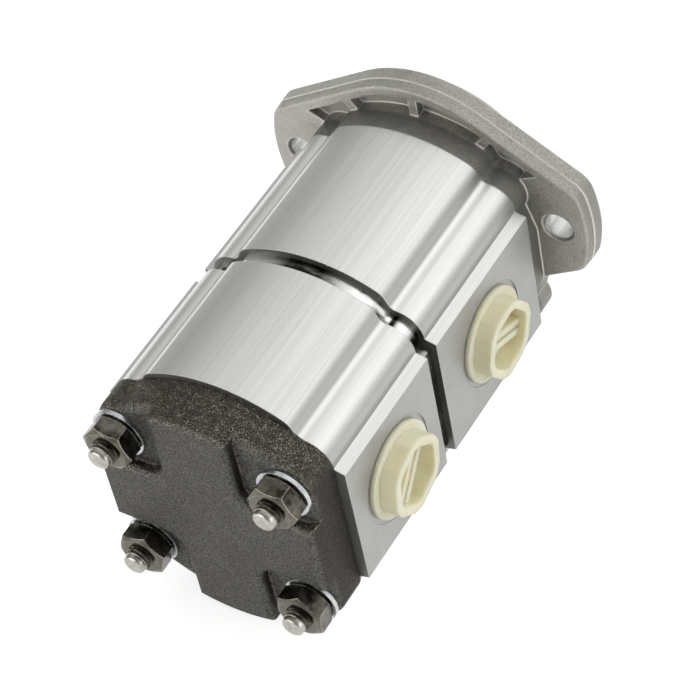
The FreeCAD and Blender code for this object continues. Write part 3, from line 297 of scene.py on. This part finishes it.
def cast_aluminium():
    """Die-cast front cover: warm grey and grained, brighter where it is machined; painted highlight along
    its rims, painted shade on the hub behind the flange and on faces turned sideways.
    """
    s = Shader("cast_aluminium")
    grain = s.noise(1500, 4.0, 0.7)
    clumps = s.noise(240, 4.0, 0.6)
    cloud = s.noise(45, 3.0, 0.6)
    rings = s.rings(2200)

    where = s.parts(s.place)
    side = s.parts(s.normal)
    sideways = s.ramp(s.math("ABSOLUTE", side["X"]), 0.60, 0.90, 0.0, 0.6)
    # Painted shade: the hub behind the flange's rear face darker, where the flange shades it
    painted_hub_shade = s.ramp(where["Y"], FLANGE_REAR - 0.0002, FLANGE_REAR - 0.0014, 0.0, 0.6)
    face = s.math("MULTIPLY", s.ramp(side["Y"], 0.95, 0.99), s.ramp(where["Y"], -0.0005, -0.0001))
    aside = s.math("SUBTRACT", s.math("ABSOLUTE", where["X"]), BOLT_HOLE_X)
    reach = s.math("SQRT", s.math("ADD", s.math("POWER", aside, 2.0), s.math("POWER", where["Z"], 2.0)))
    hole = s.ramp(reach, BOLT_HOLE_RADIUS + 0.0003, BOLT_HOLE_RADIUS + 0.0001)
    machined = s.math("MAXIMUM", face, hole)
    rounded = s.rounded(0.0010)
    # Painted highlight along the rims, fading out on the hub
    painted_rim_highlight = s.math("MULTIPLY", s.edge(rounded, 0.004, 0.12), s.ramp(painted_hub_shade, 0.1, 0.5, 0.95, 0.10))

    color = s.blend(s.ramp(grain, 0.3, 0.7), (0.235, 0.228, 0.205), (0.60, 0.588, 0.545))
    color = s.blend(s.ramp(clumps, 0.5, 0.75, 0.0, 0.4), color, (0.22, 0.213, 0.19))
    color = s.blend(s.ramp(cloud, 0.4, 0.7, 0.0, 0.35), color, (0.47, 0.46, 0.435))
    # Painted shade: faces turned sideways darker
    color = s.blend(sideways, color, (0.16, 0.156, 0.142))
    color = s.blend(painted_hub_shade, color, (0.125, 0.121, 0.106))
    color = s.blend(painted_rim_highlight, color, (0.95, 0.93, 0.88))
    turned = s.blend(s.ramp(rings, 0.35, 0.65), (0.54, 0.54, 0.525), (0.67, 0.67, 0.655))
    color = s.blend(machined, color, turned)
    rough = s.between(machined, s.ramp(grain, 0.3, 0.7, 0.34, 0.52), 0.26)

    rugged = s.math("SUBTRACT", 1.0, machined)
    height = s.math("ADD", grain, s.math("MULTIPLY", clumps, 1.2))
    normal = s.bump(s.math("MULTIPLY", height, rugged), 0.00040, 0.9, rounded)
    normal = s.bump(s.math("MULTIPLY", rings, face), 0.00001, 0.5, normal)
    return s.finish(color, rough, 0.9, normal)


def cast_iron():
    """Sand-cast iron: dark and grainy, with painted brown-gold glints on its upper faces, painted shade
    on its flanks, and edges partly rubbed and partly painted highlight.
    """
    s = Shader("cast_iron")
    grain = s.noise(1400, 2.5, 0.65)
    lumps = s.noise(420, 3.0, 0.6)
    cloud = s.noise(60, 3.0, 0.6)
    glint = s.noise(2300, 2.0, 0.7)

    side = s.parts(s.normal)
    # Painted glints: gold specks on faces turned up or down
    level = s.ramp(s.math("ABSOLUTE", side["Z"]), 0.25, 0.8)
    painted_flank_shade = s.ramp(s.math("ABSOLUTE", side["Y"]), 0.6, 0.2)
    patches = s.math("MULTIPLY", s.ramp(lumps, 0.35, 0.65, 0.2, 1.0), s.ramp(level, 0.0, 1.0, 0.12, 0.75))
    painted_glints = s.math("MULTIPLY", s.ramp(glint, 0.52, 0.68), patches)
    rounded = s.rounded(0.0014)
    # Edges partly rubbed bare and partly painted highlight
    rubbed_and_highlit_edges = s.math("MULTIPLY", s.edge(rounded, 0.01, 0.20), s.ramp(grain, 0.42, 0.58))

    color = s.blend(s.ramp(grain, 0.36, 0.66), (0.034, 0.033, 0.029), (0.165, 0.160, 0.146))
    color = s.blend(s.ramp(cloud, 0.4, 0.7, 0.0, 0.35), color, (0.055, 0.053, 0.047))
    # Painted shade: faces that do not face along the shaft darker
    color = s.blend(s.math("MULTIPLY", painted_flank_shade, 0.75), color, (0.028, 0.026, 0.022))
    color = s.blend(painted_glints, color, (0.74, 0.68, 0.54))
    color = s.blend(s.math("MULTIPLY", rubbed_and_highlit_edges, 0.7), color, (0.46, 0.41, 0.31))
    rough = s.ramp(grain, 0.35, 0.65, 0.50, 0.30)
    height = s.math("ADD", grain, s.math("MULTIPLY", lumps, 1.2))
    normal = s.bump(height, 0.00044, 1.0, rounded)
    return s.finish(color, rough, 0.60, normal, Specular_IOR_Level=0.25,
                    Specular_Tint=(0.45, 0.44, 0.42, 1.0))


def dark_plate():
    """Intermediate plate: dark, oily and glossy, with a painted reflection in bright patches on its
    shoulders.
    """
    s = Shader("dark_plate")
    cloud = s.noise((90, 260, 90), 3.0, 0.6)
    scuffs = s.noise(800, 3.0, 0.6)
    sideways = s.math("ABSOLUTE", s.parts(s.normal)["X"])
    # Painted reflection: bright patches on the shoulders, turned partly sideways
    shoulder = s.math("MULTIPLY", s.ramp(sideways, 0.12, 0.38), s.ramp(sideways, 0.95, 0.80))
    bright = s.math("MULTIPLY", s.ramp(cloud, 0.32, 0.52), shoulder)
    color = s.blend(s.ramp(cloud, 0.50, 0.68), (0.012, 0.0115, 0.009), (0.12, 0.115, 0.10))
    color = s.blend(bright, color, (0.86, 0.86, 0.85))
    color = s.blend(s.ramp(scuffs, 0.62, 0.75, 0.0, 0.5), color, (0.03, 0.029, 0.026))
    rough = s.ramp(cloud, 0.35, 0.7, 0.14, 0.26)
    return s.finish(color, rough, 1.0, s.bump(scuffs, 0.00003, 0.5))


def oxide_steel():
    """Nuts: glossy black oxide on the flats, browner on the turned ends, bright along the edges, partly
    wear and partly painted highlight.
    """
    s = Shader("oxide_steel")
    cloud = s.noise(180, 4.0, 0.65)
    spots = s.noise(900, 3.0, 0.7)
    end = s.ramp(s.math("ABSOLUTE", s.parts(s.normal)["Y"]), 0.6, 0.95)
    rounded = s.rounded(0.00045)
    # Edges partly worn bare and partly painted highlight
    worn_and_highlit_edges = s.math("MULTIPLY", s.edge(rounded, 0.01, 0.14), s.ramp(spots, 0.3, 0.6, 0.5, 1.0))
    flats = s.blend(s.ramp(cloud, 0.38, 0.66), (0.024, 0.022, 0.018), (0.15, 0.14, 0.118))
    ends = s.blend(s.ramp(cloud, 0.3, 0.7), (0.075, 0.066, 0.051), (0.165, 0.148, 0.118))
    color = s.blend(end, flats, ends)
    color = s.blend(s.ramp(spots, 0.64, 0.76, 0.0, 0.6), color, (0.02, 0.018, 0.015))
    color = s.blend(worn_and_highlit_edges, color, (0.66, 0.60, 0.51))
    rough = s.ramp(cloud, 0.3, 0.7, 0.16, 0.32)
    return s.finish(color, rough, 0.95, s.bump(spots, 0.00004, 0.5, rounded))


def zinc_plate():
    """Washers: bright bluish zinc, faintly mottled."""
    s = Shader("zinc_plate")
    cloud = s.noise(500, 3.0, 0.6)
    color = s.blend(s.ramp(cloud, 0.35, 0.7), (0.44, 0.455, 0.465), (0.58, 0.60, 0.61))
    rough = s.ramp(cloud, 0.3, 0.7, 0.20, 0.34)
    return s.finish(color, rough, 1.0, s.bump(cloud, 0.00003, 0.5, s.rounded(0.0003)))


def stud_steel():
    """Studs: black threads and a silvery turned point at the rear end."""
    s = Shader("stud_steel")
    cloud = s.noise(600, 3.0, 0.6)
    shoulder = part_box("tie_stud_1")[0].y + TURNED_TIP
    point = s.ramp(s.parts(s.place)["Y"], shoulder + 0.00015, shoulder - 0.00005)
    dark = s.blend(s.ramp(cloud, 0.35, 0.7), (0.035, 0.031, 0.027), (0.13, 0.12, 0.10))
    bright = s.blend(s.ramp(cloud, 0.3, 0.7), (0.32, 0.308, 0.28), (0.49, 0.475, 0.44))
    color = s.blend(point, dark, bright)
    rough = s.ramp(cloud, 0.3, 0.7, 0.24, 0.38)
    return s.finish(color, rough, 1.0, s.bump(cloud, 0.00003, 0.5, s.rounded(0.0003)))


def ground_steel():
    """Shaft, gears and pins: ground bright, with faint rings round the shaft."""
    s = Shader("ground_steel")
    rings = s.noise((60, 5000, 60), 2.0, 0.5)
    rounded = s.rounded(0.0003)
    color = s.blend(s.ramp(rings, 0.35, 0.65), (0.47, 0.47, 0.47), (0.60, 0.60, 0.60))
    # Painted highlight along the sharp edges
    color = s.blend(s.math("MULTIPLY", s.edge(rounded), 0.5), color, (0.76, 0.76, 0.75))
    rough = s.ramp(rings, 0.3, 0.7, 0.22, 0.32)
    return s.finish(color, rough, 1.0, s.bump(rings, 0.00001, 0.4, rounded))


def moulded_nylon():
    """Port plugs: pale cream nylon, slightly translucent, faintly mottled."""
    s = Shader("moulded_nylon")
    cloud = s.noise(110, 3.0, 0.55)
    fine = s.noise(1800, 2.0, 0.5)
    color = s.blend(s.ramp(cloud, 0.35, 0.65), (0.80, 0.765, 0.56), (0.85, 0.82, 0.65))
    height = s.math("ADD", s.math("MULTIPLY", cloud, 3.0), s.math("MULTIPLY", fine, 0.3))
    normal = s.bump(height, 0.00008, 0.6, s.rounded(0.0012))
    return s.finish(color, 0.48, 0.0, normal, Subsurface_Weight=0.8, Subsurface_Radius=(1.0, 0.85, 0.5),
                    Subsurface_Scale=0.0035, Specular_IOR_Level=0.3)


def plain_rubber():
    """Seals: black and matt, finely grained."""
    s = Shader("plain_rubber")
    fine = s.noise(1500, 3.0, 0.6)
    color = s.blend(s.ramp(fine, 0.3, 0.7), (0.022, 0.022, 0.023), (0.045, 0.045, 0.046))
    return s.finish(color, s.ramp(fine, 0.3, 0.7, 0.5, 0.7), 0.0, s.bump(fine, 0.00004, 0.6))


def bearing_bronze():
    """Bushes: warm brown bronze with a fine grain."""
    s = Shader("bearing_bronze")
    fine = s.noise(900, 3.0, 0.6)
    color = s.blend(s.ramp(fine, 0.3, 0.7), (0.40, 0.29, 0.15), (0.55, 0.42, 0.24))
    return s.finish(color, 0.35, 1.0, s.bump(fine, 0.00002, 0.5))


body_alloy = extruded_aluminium()
oxide = oxide_steel()
steel = ground_steel()
stud_metal = stud_steel()
nylon = moulded_nylon()

FINISHES = {
    "cover_aluminium": cast_aluminium(),
    "body_aluminium": body_alloy,
    "block_aluminium": body_alloy,
    "plate_aluminium": dark_plate(),
    "cast_iron": cast_iron(),
    "seal_rubber": plain_rubber(),
    "spring_steel": oxide,
    "gear_steel": steel,
    "pin_steel": steel,
    "stud_steel": stud_metal,
    "nut_steel": oxide,
    "washer_steel": zinc_plate(),
    "bush_bronze": bearing_bronze(),
    "backup_nylon": nylon,
    "plug_nylon": nylon,
}
slot_of = {row["node"]: row["material_slot"] for row in frame["record"]["subparts"]}
for name, node in frame["nodes"].items():
    node.data.materials.clear()
    node.data.materials.append(FINISHES[slot_of[name]])


def put(name, data):
    """Object made of some data, in the scene."""
    item = bpy.data.objects.new(name, data)
    bpy.context.scene.collection.objects.link(item)
    return item


# Studs with a real screw thread over the part that stands out of the nut

def stud_radius_at(depth, angle, full):
    """Radius of a stud at a depth from its rear end; the thread winds round with the angle."""
    if depth <= TURNED_TIP:
        return TIP_RADIUS
    lead_in = min(full, TIP_RADIUS + LEAD_IN_STEP + LEAD_IN_SLOPE * (depth - TURNED_TIP))
    if depth >= THREAD_END:
        return full
    phase = (depth / THREAD_PITCH - angle / (2 * math.pi)) % 1.0
    slope = abs(2 * phase - 1)
    groove = min(1.0, max(0.0, (slope - CREST_SHARE) / FLANK_SHARE))
    fade = min(1.0, (THREAD_END - depth) / THREAD_PITCH)
    return min(lead_in, full - THREAD_DEPTH * groove * fade)


def threaded_stud(name):
    """Stud that stands for the plain one: domed tip, turned point, thread and plain shank."""
    low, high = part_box(name)
    middle_x, middle_z = (low.x + high.x) / 2, (low.z + high.z) / 2
    full = (high.x - low.x) / 2
    length = high.y - low.y
    mesh = bmesh.new()
    turns = [2 * math.pi * i / STUD_FACES for i in range(STUD_FACES)]
    loops = []

    def loop(depth, radii):
        loops.append([
            mesh.verts.new((middle_x + r * math.cos(a), low.y + depth, middle_z + r * math.sin(a)))
            for a, r in zip(turns, radii)])

    rear = mesh.verts.new((middle_x, low.y, middle_z))
    for depth, radius in DOME:
        loop(depth, [radius] * STUD_FACES)
    row_gap = (THREAD_END - TURNED_TIP) / THREAD_ROWS
    depths = [TURNED_TIP + SHOULDER + i * row_gap for i in range(THREAD_ROWS + 1)]
    for depth in [*depths, length - FRONT_CHAMFER]:
        loop(depth, [stud_radius_at(depth, a, full) for a in turns])
    loop(length, [full - FRONT_CHAMFER] * STUD_FACES)
    front = mesh.verts.new((middle_x, high.y, middle_z))

    for i in range(STUD_FACES):
        j = (i + 1) % STUD_FACES
        mesh.faces.new((rear, loops[0][i], loops[0][j]))
        mesh.faces.new((front, loops[-1][j], loops[-1][i]))
        for first, second in zip(loops, loops[1:]):
            mesh.faces.new((first[i], second[i], second[j], first[j]))
    bmesh.ops.recalc_face_normals(mesh, faces=mesh.faces)
    data = bpy.data.meshes.new(f"threaded_{name}")
    mesh.to_mesh(data)
    mesh.free()
    data.polygons.foreach_set("use_smooth", [True] * len(data.polygons))
    data.set_sharp_from_angle(angle=SHARP_ANGLE)
    data.materials.append(stud_metal)
    item = put(f"threaded_{name}", data)
    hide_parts(name)
    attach(item, "housing")


for index in range(1, 5):
    threaded_stud(f"tie_stud_{index}")


# Stage: pale paper under the pump, white all round

floor_mesh = bpy.data.meshes.new("studio_floor")
floor_height = cad_low.z - FLOOR_GAP
quarters = ((-1, -1), (1, -1), (1, 1), (-1, 1))
floor_mesh.from_pydata([(FLOOR_HALF * x, FLOOR_HALF * y, floor_height) for x, y in quarters],
                       [], [(0, 1, 2, 3)])
put("studio_floor", floor_mesh)

# The paper is white to the camera and in metal's reflections, and lights the pump as plain paper
paper = bpy.data.materials.new("studio_paper")
paper.use_nodes = True
paper.node_tree.nodes.clear()
page = Graph(paper.node_tree)
rays = page.node("ShaderNodeLightPath").outputs
mirrored = page.math("MAXIMUM", rays["Is Glossy Ray"], rays["Is Transmission Ray"])
seen = page.math("MAXIMUM", rays["Is Camera Ray"], mirrored)
diffuse = page.node("ShaderNodeBsdfDiffuse")
diffuse.inputs["Color"].default_value = PAPER_COLOR
glow = page.node("ShaderNodeEmission")
page.link(page.math("MULTIPLY", seen, PAPER_GLOW), glow.inputs["Strength"])
both = page.node("ShaderNodeAddShader")
page.link(diffuse.outputs[0], both.inputs[0])
page.link(glow.outputs[0], both.inputs[1])
page.link(both.outputs[0], page.node("ShaderNodeOutputMaterial").inputs["Surface"])
floor_mesh.materials.append(paper)

# The room is brightest behind the flange, above and to the right, and dim at the rear end
world = bpy.data.worlds.new("studio_world")
bpy.context.scene.world = world
world.use_nodes = True
world.node_tree.nodes.clear()
sky = Graph(world.node_tree)
direction = sky.node("ShaderNodeTexCoord").outputs["Generated"]


def sky_part(toward, low, high, first, last):
    """Ramp of the room's brightness with the angle to one direction."""
    facing = sky.vector_math("DOT_PRODUCT", direction, toward)
    return sky.ramp(facing, low, high, first, last, interpolation_type="SMOOTHSTEP")


across = sky_part((0.62, 0.0, 0.78), -0.55, 0.45, 0.30, 0.97)
along = sky_part((0.0, 1.0, 0.0), -0.35, 0.40, 0.28, 1.0)
background = sky.node("ShaderNodeBackground")
background.inputs["Color"].default_value = ROOM_COLOR
sky.link(sky.math("MULTIPLY", across, along), background.inputs["Strength"])
sky.link(background.outputs[0], sky.node("ShaderNodeOutputWorld").inputs["Surface"])


def softbox(name, position, size, power):
    """Lamp panel that faces the pump's middle."""
    lamp = bpy.data.lights.new(name, "AREA")
    lamp.shape = "RECTANGLE"
    lamp.size, lamp.size_y = size
    lamp.energy = power
    item = put(name, lamp)
    item.location = position
    item.rotation_mode = "QUATERNION"
    item.rotation_quaternion = (PUMP_MIDDLE - Vector(position)).to_track_quat("-Z", "Y")


softbox("key_above", (0.40, 0.45, 0.75), (0.9, 0.8), 0.85)
softbox("edge_left", (-0.48, -1.00, 0.40), (1.0, 0.7), 6.5)
softbox("fill_right", (0.95, -0.20, 0.22), (0.7, 0.5), 2.4)

# Camera at the photograph's viewpoint

camera_data = bpy.data.cameras.new("photo_camera")
camera_data.sensor_width = SENSOR_WIDTH
camera_data.lens = FOCAL_PIXELS / FRAME_PIXELS * SENSOR_WIDTH
camera_data.clip_start, camera_data.clip_end = 0.05, 20.0
camera = put("photo_camera", camera_data)
camera.location = (0.417778, -0.576496, 0.680942)
camera.rotation_mode = "QUATERNION"
camera.rotation_quaternion = (0.904929, 0.328457, 0.161382, 0.217199)
bpy.context.scene.camera = camera
bpy.context.scene.view_settings.view_transform = "Standard"
